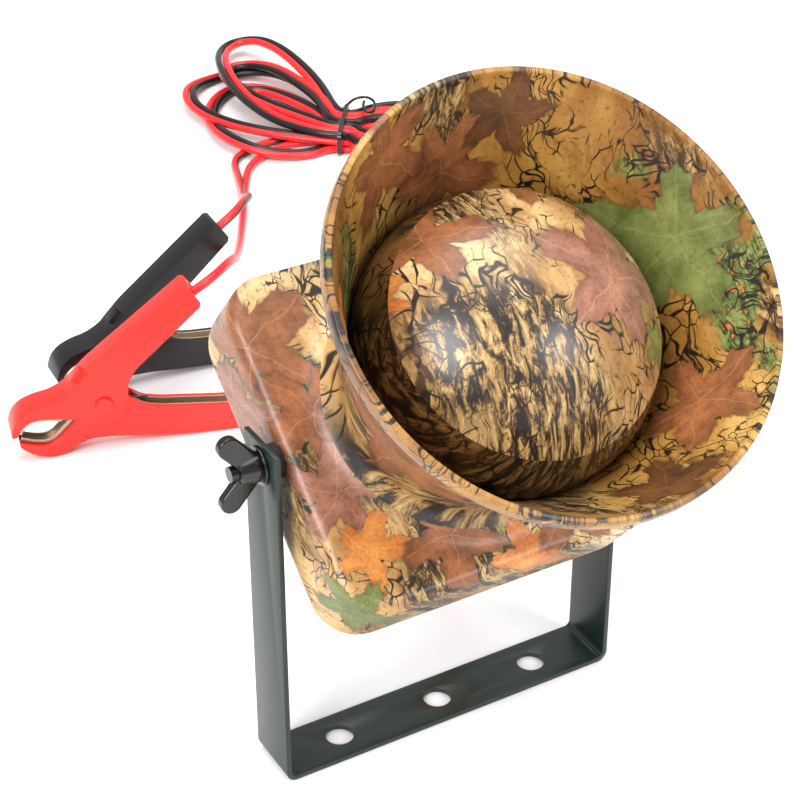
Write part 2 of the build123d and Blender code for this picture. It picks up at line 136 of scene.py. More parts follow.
# From the tie to where the two leads part, in the hank's own directions: along it, and across it
partings = {
    "red": [(20, -7.5), (34, -14), (44, -26), (50, -39), (52, -51)],
    "black": [(22, -2.0), (40, -7), (53, -18), (60, -30), (62, -41)]}
hankSpot = np.array([224.0, 481.0])
hankTurn = math.radians(144.4)
hankAlong = np.array([math.cos(hankTurn), math.sin(hankTurn)])
hankAcross = np.array([math.sin(hankTurn), -math.cos(hankTurn)])
pairHalf = 2.4
# One dictionary per loop: which side of the tie it lies on, how it goes out and how it comes back (its place
# in the tie, its angle from the hank's line, and how far it is pulled that way), the height of its points and
# the half turns of the pair at its two ends
loops = [
    {"side": 1, "out": (-13.8, -40, 140), "back": (9.2, 55, 222), "twist": (0, 0),
     "heights": (2.3, 4.5, 6.9, 6.9, 5, 2.3, 2.3, 2.3, 2.3, 2.3, 2.3, 2.3)},
    {"side": -1, "out": (9.2, 22, 56), "back": (-13.8, -30, 56), "twist": (0, 0),
     "heights": (2.3, 2.3, 2.3, 2.3, 2.3, 2.3, 2.3, 4.5, 6.9, 6.9, 6.9, 6.9)},
    {"side": 1, "out": (-13.8, 2, 190), "back": (13.8, 66, 200), "twist": (0, 0),
     "heights": (6.9, 6.9, 6.9, 6.9, 6.9, 4.5, 2.3, 2.3, 4.5, 6.9, 6.9, 6.9)},
    {"side": -1, "out": (13.8, 26, 68), "back": (-4.6, -34, 68), "twist": (0, 1),
     "heights": (6.9, 6.9, 6.9, 5.5, 5, 4.7, 4.7, 5, 6, 6.9, 6.9, 6.9)},
    {"side": 1, "out": (-4.6, 16, 87), "back": (4.6, 49, 142), "twist": (1, 1),
     "heights": (6.9, 6.9, 6.9, 8.5, 8.5, 6.9, 6.9, 6.9, 6.9, 6.9, 6.9, 6.9)},
    {"side": -1, "out": (4.6, 30, 80), "back": (-4.6, -38, 80), "twist": (1, 2),
     "heights": (6.9, 6.9, 9, 7.5, 5.5, 4.7, 4.7, 6, 9, 11.4, 11.4, 11.4)},
    {"side": 1, "out": (-4.6, 22, 146), "back": (4.6, 62, 196), "twist": (2, 2),
     "heights": (11.4, 11.4, 11.4, 11.4, 9.5, 7.5, 6.9, 7.5, 9.5, 11.4, 11.4, 11.4)},
    {"side": -1, "out": (4.6, 34, 92), "back": (-13.8, -42, 92), "twist": (2, 3),
     "heights": (11.4, 11.4, 11, 8.5, 6, 4.7, 4.7, 6, 9, 11.4, 11.4, 11.4)},
    {"side": 1, "out": (-13.8, 2, 113), "back": (13.8, 64, 304), "twist": (3, 3),
     "heights": (11.4, 11.4, 13, 14, 14, 12, 9, 8, 9.5, 13, 14, 12)},
    {"side": -1, "out": (13.8, 38, 104), "back": (-4.6, -46, 104), "twist": (3, 4),
     "heights": (11.4, 11.4, 10, 7, 5, 4.7, 4.7, 4.7, 4.2, 3.7, 3.1, 2.3)}]


def inHank(alongTie, acrossTie, height):
    spot = hankSpot + alongTie * hankAlong + acrossTie * hankAcross
    return (spot[0], spot[1], height)


def loopPoints(loop):
    # A turn of the hank: the cubic curve that leaves the tie the one way and comes back to it the other
    def inLoop(place, angle, pull):
        bearing = math.radians(angle)
        return np.array([loop["side"] * pull * math.cos(bearing), place + pull * math.sin(bearing)])

    first, firstPull = inLoop(loop["out"][0], 0, 0), inLoop(*loop["out"])
    last, lastPull = inLoop(loop["back"][0], 0, 0), inLoop(*loop["back"])
    count = len(loop["heights"])
    points, twists = [], []
    for step, height in enumerate(loop["heights"]):
        share = (step + 0.8) / (count + 0.6)
        rest = 1 - share
        spot = (rest ** 3 * first + 3 * share * rest ** 2 * firstPull + 3 * share ** 2 * rest * lastPull
                + share ** 3 * last)
        points.append(inHank(spot[0], spot[1], height))
        twists.append(loop["twist"][0] + (loop["twist"][1] - loop["twist"][0]) * step / (count - 1))
    return points, twists


def pairRoute():
    # The line midway between the two leads, and how far the pair has turned about it, in half turns
    points, twists = [], []
    for place, spot in enumerate(feedRoute):
        before = feedRoute[max(place - 1, 0)]
        after = feedRoute[min(place + 1, len(feedRoute) - 1)]
        run = math.hypot(after[0] - before[0], after[1] - before[1])
        points.append((spot[0] + pairHalf * (after[1] - before[1]) / run,
                       spot[1] - pairHalf * (after[0] - before[0]) / run, spot[2]))
        twists.append(0)
    for loop in loops:
        for near in (-7, 7):
            points.append(inHank(near * loop["side"], loop["out"][0], loop["heights"][0]))
            twists.append(loop["twist"][0])
        more, turns = loopPoints(loop)
        points += more
        twists += turns
    for near in (-7, 7):
        points.append(inHank(near, loops[-1]["back"][0], ground))
        twists.append(loops[-1]["twist"][1])
    return np.array(points), np.array(twists)


def leadRoute(colour):
    # One lead of the pair: half a gap from the midway line, to the side that the pair's turning gives
    middleLine, twists = pairRoute()
    heading = np.gradient(middleLine, axis=0)
    aside = np.stack([-heading[:, 1], heading[:, 0], 0 * heading[:, 0]], 1)
    aside /= np.linalg.norm(aside, axis=1)[:, None]
    way = 1 if colour == "red" else -1
    swing = np.cos(math.pi * twists)[:, None] * aside
    swing[:, 2] += np.sin(math.pi * twists)
    points = [tuple(point) for point in middleLine + way * pairHalf * swing]
    points += [inHank(a, b, ground) for a, b in partings[colour]]
    return points + tailRoutes[colour]


def smoothLine(name, points, resolution=9):
    # The NURBS spline whose control points are the route's points, read back as points in metres
    data = bpy.data.curves.new(name, "CURVE")
    data.dimensions = "3D"
    spline = data.splines.new("NURBS")
    spline.points.add(len(points) - 1)
    for knot, (x, y, z) in zip(spline.points, points):
        knot.co = (x / 1000, y / 1000, z / 1000, 1)
    spline.order_u = 3
    spline.use_endpoint_u = True
    spline.resolution_u = resolution
    holder = bpy.data.objects.new(name, data)
    bpy.context.scene.collection.objects.link(holder)
    bpy.context.view_layer.update()
    mesh = bpy.data.meshes.new_from_object(holder)
    line = np.empty(3 * len(mesh.vertices))
    mesh.vertices.foreach_get("co", line)
    bpy.data.objects.remove(holder)
    bpy.data.curves.remove(data)
    bpy.data.meshes.remove(mesh)
    return line.reshape(-1, 3)


# Mesh helpers
def makeObject(name, points, faces, materials, smooth=True):
    mesh = bpy.data.meshes.new(name)
    mesh.from_pydata(points.tolist() if hasattr(points, "tolist") else points, [],
                     faces.tolist() if hasattr(faces, "tolist") else faces)
    mesh.update()
    for material in materials:
        mesh.materials.append(material)
    if smooth:
        mesh.shade_smooth()
    piece = bpy.data.objects.new(name, mesh)
    bpy.context.scene.collection.objects.link(piece)
    return piece


def gridFaces(rows, columns, closeRows, closeColumns):
    # Quads of a grid of points, rows by columns, that may close on itself either way
    down = np.arange(rows if closeRows else rows - 1)
    over = np.arange(columns if closeColumns else columns - 1)
    i, j = np.meshgrid(down, over, indexing="ij")
    nextRow, nextColumn = (i + 1) % rows, (j + 1) % columns
    faces = np.stack([i * columns + j, i * columns + nextColumn, nextRow * columns + nextColumn,
                      nextRow * columns + j], -1)
    return faces.reshape(-1, 4)


def tubeAlong(name, line, radius, materials, sides=14):
    # A round tube with closed ends, whose ring of points is carried along the line without twisting
    heading = np.gradient(line, axis=0)
    heading /= np.linalg.norm(heading, axis=1)[:, None]
    side = np.zeros_like(line)
    first = np.cross(heading[0], [0, 0, 1.0])
    side[0] = first / np.linalg.norm(first)
    for place in range(1, len(line)):
        flat = side[place - 1] - heading[place] * np.dot(side[place - 1], heading[place])
        side[place] = flat / np.linalg.norm(flat)
    up = np.cross(heading, side)
    turn = np.linspace(0, 2 * math.pi, sides, endpoint=False)
    radii = radius if np.ndim(radius) else np.full(len(line), radius)
    ring = (np.cos(turn)[None, :, None] * side[:, None] + np.sin(turn)[None, :, None] * up[:, None])
    points = (line[:, None] + radii[:, None, None] * ring).reshape(-1, 3)
    quads = gridFaces(len(line), sides, False, True)[:, ::-1]
    last = (len(line) - 1) * sides
    faces = quads.tolist() + [list(range(sides)), list(range(last + sides - 1, last - 1, -1))]
    piece = makeObject(name, points, faces, materials)
    fixOutward(piece)
    run = np.concatenate([[0], np.cumsum(np.linalg.norm(np.diff(line, axis=0), axis=1))])
    field = piece.data.attributes.new("run", "FLOAT", "POINT")
    field.data.foreach_set("value", np.repeat(run, sides).astype(np.float32))
    # How far each ring point faces the upper-left key light; the black lead's painted red reflection is laid
    # on the side facing it
    keyLightFacingField = piece.data.attributes.new("keyLightFacing", "FLOAT", "POINT")
    keyLightFacingField.data.foreach_set("value", (ring @ np.array([-0.75, -0.3, 0.6])).reshape(-1).astype(np.float32))
    return piece


def fixOutward(piece):
    work = bmesh.new()
    work.from_mesh(piece.data)
    bmesh.ops.recalc_face_normals(work, faces=work.faces)
    work.to_mesh(piece.data)
    work.free()


def revolved(name, profile, materials, turns=192):
    # A closed outline of (distance from the axis, distance along it), in mm, turned about the horn's axis
    outline = np.array(profile, float) / 1000
    angle = np.linspace(0, 2 * math.pi, turns, endpoint=False)
    spots = headPoint(outline[:, 0][:, None] * np.cos(angle), outline[:, 1][:, None] + 0 * angle,
                      outline[:, 0][:, None] * np.sin(angle))
    piece = makeObject(name, spots.reshape(-1, 3), gridFaces(len(outline), turns, True, True), materials)
    mergeSeams(piece)
    return piece


def mergeSeams(piece, distance=0.000002):
    work = bmesh.new()
    work.from_mesh(piece.data)
    bmesh.ops.remove_doubles(work, verts=work.verts, dist=distance)
    bmesh.ops.dissolve_degenerate(work, edges=work.edges, dist=0.0000005)
    bmesh.ops.recalc_face_normals(work, faces=work.faces)
    work.to_mesh(piece.data)
    work.free()
    piece.data.shade_smooth()


def headPoint(x, u, v):
    # A place in the head, from metres along the tilt axis, along the horn and across it
    axes = [np.array(axis) for axis in (tiltAxis, along, across)]
    parts = np.broadcast_arrays(x, u, v)
    return np.array(pivot) + sum(part[..., None] * axis for part, axis in zip(parts, axes))


def arcOf(first, midst, last, count):
    # Points of the circle through three points
    (ax, ay), (bx, by), (cx, cy) = first, midst, last
    scale = 2 * (ax * (by - cy) + bx * (cy - ay) + cx * (ay - by))
    a2, b2, c2 = ax * ax + ay * ay, bx * bx + by * by, cx * cx + cy * cy
    centre = np.array([(a2 * (by - cy) + b2 * (cy - ay) + c2 * (ay - by)) / scale,
                       (a2 * (cx - bx) + b2 * (ax - cx) + c2 * (bx - ax)) / scale])
    angles = np.unwrap([math.atan2(y - centre[1], x - centre[0]) for x, y in (first, midst, last)])
    sweep = np.linspace(angles[0], angles[2], count)
    radius = math.hypot(ax - centre[0], ay - centre[1])
    return [tuple(centre + radius * np.array([math.cos(angle), math.sin(angle)])) for angle in sweep]


def roundedRay(angle, wide, tall, corner):
    # How far a ray from the middle goes to the edge of a rounded rectangle
    c, s = np.abs(np.cos(angle)), np.abs(np.sin(angle))
    flat = np.minimum(wide / np.maximum(c, 1e-9), tall / np.maximum(s, 1e-9))
    inX, inY = wide - corner, tall - corner
    toward = c * inX + s * inY
    inside = toward ** 2 - (inX ** 2 + inY ** 2 - corner ** 2)
    curved = toward + np.sqrt(np.maximum(inside, 0))
    atCorner = (flat * c > inX) & (flat * s > inY)
    return np.where(atCorner, curved, flat)


def softEdges(node, width, material, body, angle=30, segments=2):
    # The CAD solid's own shape with its long flat faces joined and its edges slightly rounded
    source = bpy.data.objects[node]
    mesh = source.data.copy()
    piece = bpy.data.objects.new(node + "_skin", mesh)
    bpy.context.scene.collection.objects.link(piece)
    work = bmesh.new()
    work.from_mesh(mesh)
    bmesh.ops.remove_doubles(work, verts=work.verts, dist=0.000005)
    bmesh.ops.dissolve_limit(work, angle_limit=math.radians(1.0), verts=work.verts, edges=work.edges)
    bmesh.ops.recalc_face_normals(work, faces=work.faces)
    work.to_mesh(mesh)
    work.free()
    bevel = piece.modifiers.new("edge", "BEVEL")
    bevel.width = width
    bevel.segments = segments
    bevel.limit_method = "ANGLE"
    bevel.angle_limit = math.radians(angle)
    bevel.use_clamp_overlap = True
    bpy.context.view_layer.update()
    finished = bpy.data.meshes.new_from_object(piece.evaluated_get(bpy.context.evaluated_depsgraph_get()))
    piece.modifiers.clear()
    piece.data = finished
    finished.materials.clear()
    finished.materials.append(material)
    finished.shade_smooth()
    finished.set_sharp_from_angle(angle=math.radians(34))
    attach(piece, body)
    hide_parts(node)
    return piece


# Node helpers
def newNode(tree, kind, place=None, **values):
    node = tree.nodes.new(kind)
    if place:
        node.location = place
    for key, value in values.items():
        setattr(node, key, value)
    return node


def mathNode(tree, operation, first, second=None, third=None, clamp=False):
    node = tree.nodes.new("ShaderNodeMath")
    node.operation = operation
    node.use_clamp = clamp
    for slot, value in enumerate((first, second, third)):
        if value is None:
            continue
        if isinstance(value, (int, float)):
            node.inputs[slot].default_value = value
        else:
            tree.links.new(value, node.inputs[slot])
    return node.outputs[0]


def mixColour(tree, factor, low, high, blend="MIX"):
    node = tree.nodes.new("ShaderNodeMix")
    node.data_type = "RGBA"
    node.blend_type = blend
    for slot, value in ((0, factor), (6, low), (7, high)):
        if isinstance(value, (int, float)):
            node.inputs[slot].default_value = value
        elif isinstance(value, tuple):
            node.inputs[slot].default_value = (*value, 1)
        else:
            tree.links.new(value, node.inputs[slot])
    return node.outputs[2]


def smoothMask(tree, value, low, high):
    node = tree.nodes.new("ShaderNodeMapRange")
    node.interpolation_type = "SMOOTHSTEP"
    node.inputs["From Min"].default_value = low
    node.inputs["From Max"].default_value = high
    tree.links.new(value, node.inputs["Value"])
    return node.outputs["Result"]


def noise(tree, vector, scale, detail=3.0, rough=0.55, distort=0.0):
    node = tree.nodes.new("ShaderNodeTexNoise")
    node.inputs["Scale"].default_value = scale
    node.inputs["Detail"].default_value = detail
    node.inputs["Roughness"].default_value = rough
    node.inputs["Distortion"].default_value = distort
    tree.links.new(vector, node.inputs["Vector"])
    return node.outputs["Fac"]


def stretched(tree, vector, scale, turn=(0, 0, 0)):
    node = tree.nodes.new("ShaderNodeMapping")
    node.inputs["Scale"].default_value = scale
    node.inputs["Rotation"].default_value = turn
    tree.links.new(vector, node.inputs["Vector"])
    return node.outputs["Vector"]


def ramp(tree, value, stops):
    node = tree.nodes.new("ShaderNodeValToRGB")
    elements = node.color_ramp.elements
    while len(elements) < len(stops):
        elements.new(0.5)
    for element, (place, colour) in zip(elements, stops):
        element.position = place
        element.color = (*colour, 1)
    tree.links.new(value, node.inputs["Fac"])
    return node.outputs["Color"]


def newGroup(name, inputs, output):
    # A shader group with these input and output sockets, each a name and a kind
    group = bpy.data.node_groups.new(name, "ShaderNodeTree")
    for direction, sockets in (("INPUT", inputs), ("OUTPUT", output)):
        for label, kind in sockets:
            group.interface.new_socket(label, in_out=direction, socket_type="NodeSocket" + kind)
    return group, group.nodes.new("NodeGroupInput").outputs, group.nodes.new("NodeGroupOutput").inputs


def newMaterial(name):
    material = bpy.data.materials.new(name)
    material.use_nodes = True
    return material, material.node_tree, material.node_tree.nodes["Principled BSDF"]


def srgb(red, green, blue):
    # A display colour, 0 to 255, as the linear light the shader takes
    def one(value):
        value /= 255
        return value / 12.92 if value <= 0.04045 else ((value + 0.055) / 1.055) ** 2.4
    return (one(red), one(green), one(blue))


# Shared effects
def makeFinePitGroup():
    # Tiny unevenness of a moulded or painted skin: two noises, one coarse and one fine, summed
    group, inputs, outputs = newGroup("finePits", [("Scale", "Float")], [("Height", "Float")])
    place = group.nodes.new("ShaderNodeTexCoord").outputs["Object"]
    scaled = group.nodes.new("ShaderNodeVectorMath")
    scaled.operation = "SCALE"
    group.links.new(place, scaled.inputs[0])
    group.links.new(inputs["Scale"], scaled.inputs["Scale"])
    coarse = noise(group, scaled.outputs[0], 1.0, 2.0)
    fine = noise(group, scaled.outputs[0], 4.3, 3.0)
    total = mathNode(group, "MULTIPLY_ADD", fine, 0.4, coarse)
    group.links.new(total, outputs["Height"])
    return group


finePits = makeFinePitGroup()


def addSkin(tree, shader, scale, strength, distance=0.0002):
    # Places the shared unevenness under a material, through a bump
    group = tree.nodes.new("ShaderNodeGroup")
    group.node_tree = finePits
    group.inputs["Scale"].default_value = scale
    bump = tree.nodes.new("ShaderNodeBump")
    bump.inputs["Strength"].default_value = strength
    bump.inputs["Distance"].default_value = distance
    tree.links.new(group.outputs["Height"], bump.inputs["Height"])
    tree.links.new(bump.outputs["Normal"], shader.inputs["Normal"])
    return group.outputs["Height"]


glossSpread = 0.08


def plainMaterial(name, dark, light, roughness, metallic=0.0, coat=0.0, scale=400, strength=0.15):
    # A finish whose colour drifts a little between two tones and whose gloss drifts with it
    material, tree, shader = newMaterial(name)
    place = tree.nodes.new("ShaderNodeTexCoord").outputs["Object"]
    drift = noise(tree, place, 35.0, 4.0)
    colour = mixColour(tree, drift, dark, light)
    tree.links.new(colour, shader.inputs["Base Color"])
    height = addSkin(tree, shader, scale, strength)
    gloss = mathNode(tree, "MULTIPLY_ADD", height, glossSpread, roughness - 0.7 * glossSpread)
    tree.links.new(gloss, shader.inputs["Roughness"])
    shader.inputs["Metallic"].default_value = metallic
    shader.inputs["Coat Weight"].default_value = coat
    shader.inputs["Coat Roughness"].default_value = 0.12
    return material


# Each finish: its darker tone, its lighter tone, its roughness and what else it needs
finishTones = {
    "bracketPaint": ((14, 30, 22), (19, 37, 28), 0.36, {"coat": 0.15, "scale": 900, "strength": 0.22}),
    "blackGloss": ((7, 7, 8), (13, 13, 14), 0.2, {"coat": 0.3, "scale": 500, "strength": 0.12}),
    "blackMatte": ((22, 22, 24), (32, 32, 34), 0.55, {"scale": 1600, "strength": 0.3}),
    "redSleeve": ((236, 34, 26), (250, 46, 34), 0.34, {"scale": 500, "strength": 0.12}),
    "blackSleeve": ((8, 7, 9), (16, 15, 18), 0.34, {"scale": 500, "strength": 0.12}),
    "platedSteel": ((172, 152, 132), (206, 192, 174), 0.3, {"metallic": 1.0, "scale": 1500, "strength": 0.2}),
    "zincSteel": ((170, 172, 176), (196, 198, 202), 0.34, {"metallic": 1.0, "scale": 1500, "strength": 0.2}),
    "ferrite": ((40, 40, 43), (58, 58, 62), 0.6, {"scale": 900, "strength": 0.35}),
    "sealRubber": ((20, 20, 20), (30, 30, 30), 0.7, {"scale": 1300, "strength": 0.25}),
    "keyRubber": ((96, 99, 94), (112, 115, 109), 0.55, {"scale": 1500, "strength": 0.2}),
    "boardGreen": ((12, 66, 38), (18, 84, 50), 0.4, {"scale": 600, "strength": 0.15}),
    "sinkMetal": ((196, 198, 202), (216, 218, 220), 0.38, {"metallic": 1.0, "scale": 1200, "strength": 0.2}),
    "screenFace": ((132, 142, 104), (146, 156, 118), 0.35, {"scale": 300, "strength": 0.05}),
    "film": ((176, 128, 60), (196, 148, 78), 0.35, {"scale": 300, "strength": 0.05})}
plain = {name: plainMaterial(name, srgb(*dark), srgb(*light), roughness, **more)
         for name, (dark, light, roughness, more) in finishTones.items()}


def makeGlass():
    material, tree, shader = newMaterial("screenGlass")
    shader.inputs["Base Color"].default_value = (0.86, 0.9, 0.86, 1)
    shader.inputs["Roughness"].default_value = 0.05
    shader.inputs["Transmission Weight"].default_value = 0.9
    shader.inputs["Alpha"].default_value = 0.35
    return material


plain["screenGlass"] = makeGlass()

# The leads
def leadMaterial(name, dark, light, redReflection=None):
    material, tree, shader = newMaterial(name)
    place = tree.nodes.new("ShaderNodeTexCoord").outputs["Object"]
    colour = mixColour(tree, noise(tree, place, 30.0, 3.0), dark, light)
    # Painted red reflection: the side of the lead facing the key light turns red towards the end of its run
    if redReflection:
        run = tree.nodes.new("ShaderNodeAttribute")
        run.attribute_name = "run"
        keyLightFacing = tree.nodes.new("ShaderNodeAttribute")
        keyLightFacing.attribute_name = "keyLightFacing"
        side = smoothMask(tree, keyLightFacing.outputs["Fac"], 0.1, 0.16)
        part = smoothMask(tree, run.outputs["Fac"], redReflection["from"], redReflection["from"] + 0.01)
        colour = mixColour(tree, mathNode(tree, "MULTIPLY", side, part), colour, redReflection["colour"])
    tree.links.new(colour, shader.inputs["Base Color"])
    height = addSkin(tree, shader, 900, 0.1)
    tree.links.new(mathNode(tree, "MULTIPLY_ADD", height, 0.08, 0.24), shader.inputs["Roughness"])
    return material


lines = {colour: smoothLine(colour + "Line", leadRoute(colour)) for colour in ("red", "black")}
runs = {colour: float(np.linalg.norm(np.diff(line, axis=0), axis=1).sum()) for colour, line in lines.items()}
leadFinish = {
    "red": leadMaterial("redLead", srgb(226, 28, 34), srgb(246, 44, 46)),
    # The black lead carries a painted red reflection on its lit side over its last 0.30 m, beside the red
    # lead
    "black": leadMaterial("blackLead", srgb(8, 8, 9), srgb(20, 20, 21),
                          {"from": runs["black"] - 0.30, "colour": srgb(226, 36, 38)})}
for colour, line in lines.items():
    lead = tubeAlong("lead_%s_skin" % colour, line, leadHalf, [leadFinish[colour]])
    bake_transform(lead)
    print("lead", colour, "length", round(runs[colour], 4))
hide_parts("lead_red_drop", "lead_red_feed", "lead_red_tail", "hank")
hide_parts("lead_black_drop", "lead_black_feed", "lead_black_tail")

# Printed camouflage
def makeLeafGroup():
    # A lobed leaf: the distance from its centre over the outline's own distance at that angle, with toothed
    # edges, and its veins, one along each lobe
    group, inputs, outputs = newGroup(
        "printedLeaf",
        [("Point", "Vector"), ("Centre", "Vector"), ("Turn", "Float"), ("Size", "Float"), ("Lobes", "Float")],
        [("Mask", "Float"), ("Vein", "Float"), ("Radius", "Float")])
    away = newNode(group, "ShaderNodeVectorMath", operation="SUBTRACT")
    group.links.new(inputs["Point"], away.inputs[0])
    group.links.new(inputs["Centre"], away.inputs[1])
    turned = newNode(group, "ShaderNodeVectorRotate", rotation_type="Z_AXIS")
    group.links.new(away.outputs[0], turned.inputs["Vector"])
    group.links.new(inputs["Turn"], turned.inputs["Angle"])
    wobble = newNode(group, "ShaderNodeTexNoise")
    wobble.inputs["Scale"].default_value = 60.0
    wobble.inputs["Detail"].default_value = 3.0
    group.links.new(inputs["Point"], wobble.inputs["Vector"])
    shift = newNode(group, "ShaderNodeVectorMath", operation="MULTIPLY_ADD")
    group.links.new(wobble.outputs["Color"], shift.inputs[0])
    shift.inputs[1].default_value = (0.010, 0.010, 0)
    group.links.new(turned.outputs[0], shift.inputs[2])
    parts = newNode(group, "ShaderNodeSeparateXYZ")
    group.links.new(shift.outputs[0], parts.inputs[0])
    x, y = parts.outputs[0], parts.outputs[1]
    radius = mathNode(group, "SQRT", mathNode(group, "ADD", mathNode(group, "MULTIPLY", x, x),
                                              mathNode(group, "MULTIPLY", y, y)))
    radius = mathNode(group, "DIVIDE", radius, inputs["Size"])
    angle = mathNode(group, "ARCTAN2", y, x)
    halfLobe = mathNode(group, "MULTIPLY", angle, mathNode(group, "MULTIPLY", inputs["Lobes"], 0.5))
    lobe = mathNode(group, "POWER", mathNode(group, "ABSOLUTE", mathNode(group, "COSINE", halfLobe)), 1.7)
    teeth = mathNode(group, "ABSOLUTE", mathNode(group, "SINE", mathNode(group, "MULTIPLY", halfLobe, 5.0)))
    front = mathNode(group, "MULTIPLY_ADD", mathNode(group, "COSINE", angle), 0.14, 0.86)
    outline = mathNode(group, "MULTIPLY_ADD", lobe, 0.46, 0.48)
    outline = mathNode(group, "MULTIPLY_ADD", teeth, -0.09, outline)
    outline = mathNode(group, "MULTIPLY", outline, front)
    share = mathNode(group, "DIVIDE", radius, outline)
    group.links.new(smoothMask(group, share, 1.03, 0.97), outputs["Mask"])
    group.links.new(share, outputs["Radius"])
    ribs = mathNode(group, "MULTIPLY", mathNode(group, "ABSOLUTE", mathNode(group, "SINE", halfLobe)), radius)
    main = smoothMask(group, ribs, 0.022, 0.006)
    comb = mathNode(group, "MULTIPLY_ADD", radius, 46.0, mathNode(group, "MULTIPLY", ribs, -60.0))
    small = smoothMask(group, mathNode(group, "ABSOLUTE", mathNode(group, "SINE", comb)), 0.16, 0.02)
    faint = mathNode(group, "MULTIPLY", small, 0.28)
    group.links.new(mathNode(group, "MAXIMUM", main, faint), outputs["Vein"])
    return group


def makeGroundGroup():
    # The print's background: dry leaf litter, bark and twigs, and grass, each in its own patches
    group, inputs, outputs = newGroup(
        "forestFloor", [("Point", "Vector"), ("Green", "Float"), ("Bark", "Float"), ("Warm", "Float")],
        [("Color", "Color")])
    point = inputs["Point"]
    litter = noise(group, stretched(group, point, (1, 0.55, 1), (0, 0, 0.5)), 26.0, 5.0, 0.6, 0.6)
    cool = ramp(group, litter, [(0.30, srgb(104, 70, 40)), (0.44, srgb(168, 126, 74)),
                                (0.54, srgb(214, 178, 122)), (0.70, srgb(236, 208, 160))])
    warm = ramp(group, litter, [(0.30, srgb(92, 52, 16)), (0.44, srgb(146, 98, 36)),
                                (0.56, srgb(180, 132, 58)), (0.72, srgb(206, 166, 92))])
    colour = mixColour(group, inputs["Warm"], cool, warm)
    # Bark: noise drawn out along a slant, in patches
    grainPoint = stretched(group, point, (1, 0.3, 1), (0, 0, 0.85))
    grain = noise(group, grainPoint, 330.0, 8.0, 0.72, 0.9)
    patch = noise(group, stretched(group, point, (1, 0.6, 1), (0, 0, 0.85)), 17.0, 2.0)
    patch = smoothMask(group, mathNode(group, "ADD", patch, inputs["Bark"]), 0.50, 0.60)
    bark = ramp(group, grain, [(0.42, srgb(20, 14, 9)), (0.48, srgb(58, 42, 24)), (0.53, srgb(150, 116, 68)),
                               (0.64, srgb(204, 172, 112))])
    colour = mixColour(group, patch, colour, bark)
    # Grass: short green and orange strokes
    blade = noise(group, stretched(group, point, (1, 0.35, 1), (0, 0, -0.4)), 420.0, 7.0, 0.7, 1.4)
    grass = ramp(group, blade, [(0.36, srgb(24, 32, 12)), (0.46, srgb(74, 88, 40)),
                                (0.56, srgb(120, 134, 70)), (0.66, srgb(176, 148, 92))])
    fleck = smoothMask(group, noise(group, point, 330.0, 2.0), 0.62, 0.66)
    grass = mixColour(group, fleck, grass, srgb(206, 108, 48))
    lawn = noise(group, point, 21.0, 2.0)
    lawn = smoothMask(group, mathNode(group, "ADD", lawn, inputs["Green"]), 0.60, 0.66)
    colour = mixColour(group, lawn, colour, grass)
    # Twigs: the narrow borders of large bent cells, broken up by another noise
    bent = newNode(group, "ShaderNodeTexNoise")
    bent.inputs["Scale"].default_value = 45.0
    group.links.new(point, bent.inputs["Vector"])
    sway = newNode(group, "ShaderNodeVectorMath", operation="MULTIPLY_ADD")
    group.links.new(bent.outputs["Color"], sway.inputs[0])
    sway.inputs[1].default_value = (0.03, 0.03, 0)
    group.links.new(point, sway.inputs[2])
    for scale, thick, lowest in ((60.0, 0.024, 0.56), (150.0, 0.038, 0.50), (290.0, 0.075, 0.48)):
        cells = newNode(group, "ShaderNodeTexVoronoi", feature="DISTANCE_TO_EDGE")
        cells.inputs["Scale"].default_value = scale
        group.links.new(stretched(group, sway.outputs[0], (1, 0.5, 1), (0, 0, 0.7)), cells.inputs["Vector"])
        line = smoothMask(group, cells.outputs["Distance"], thick, 0.35 * thick)
        some = smoothMask(group, noise(group, point, 22.0 + scale / 8, 3.0), lowest, lowest + 0.05)
        colour = mixColour(group, mathNode(group, "MULTIPLY", line, some), colour, srgb(24, 17, 10))
    speck = smoothMask(group, noise(group, point, 620.0, 6.0, 0.78), 0.54, 0.62)
    colour = mixColour(group, mathNode(group, "MULTIPLY", speck, 0.6), colour, srgb(52, 34, 18))
    group.links.new(colour, outputs["Color"])
    return group


leafGroup = makeLeafGroup()
floorGroup = makeGroundGroup()


filmSlants = {"box": (0.75, 0.65), "dome": (0.0, 0.0)}


def filmSpot(film, x, u, v):
    # Where a place in the head falls on a film, in metres; the place is across it, along the horn and up it.
    # On the horn the film is drawn out from its axis as the surface widens. On the box it is flat, slanted
    # along the horn so that no face is edge-on to it; on the dome it is flat.
    if film == "horn":
        wide = math.hypot(x, v)
        reach = 82 * math.exp((u - 115) / 75) / wide
        return (x * reach / 1000, v * reach / 1000, 0)
    slantAcross, slantUp = filmSlants[film]
    return ((x + slantAcross * u) / 1000, (v + slantUp * u) / 1000, 0)


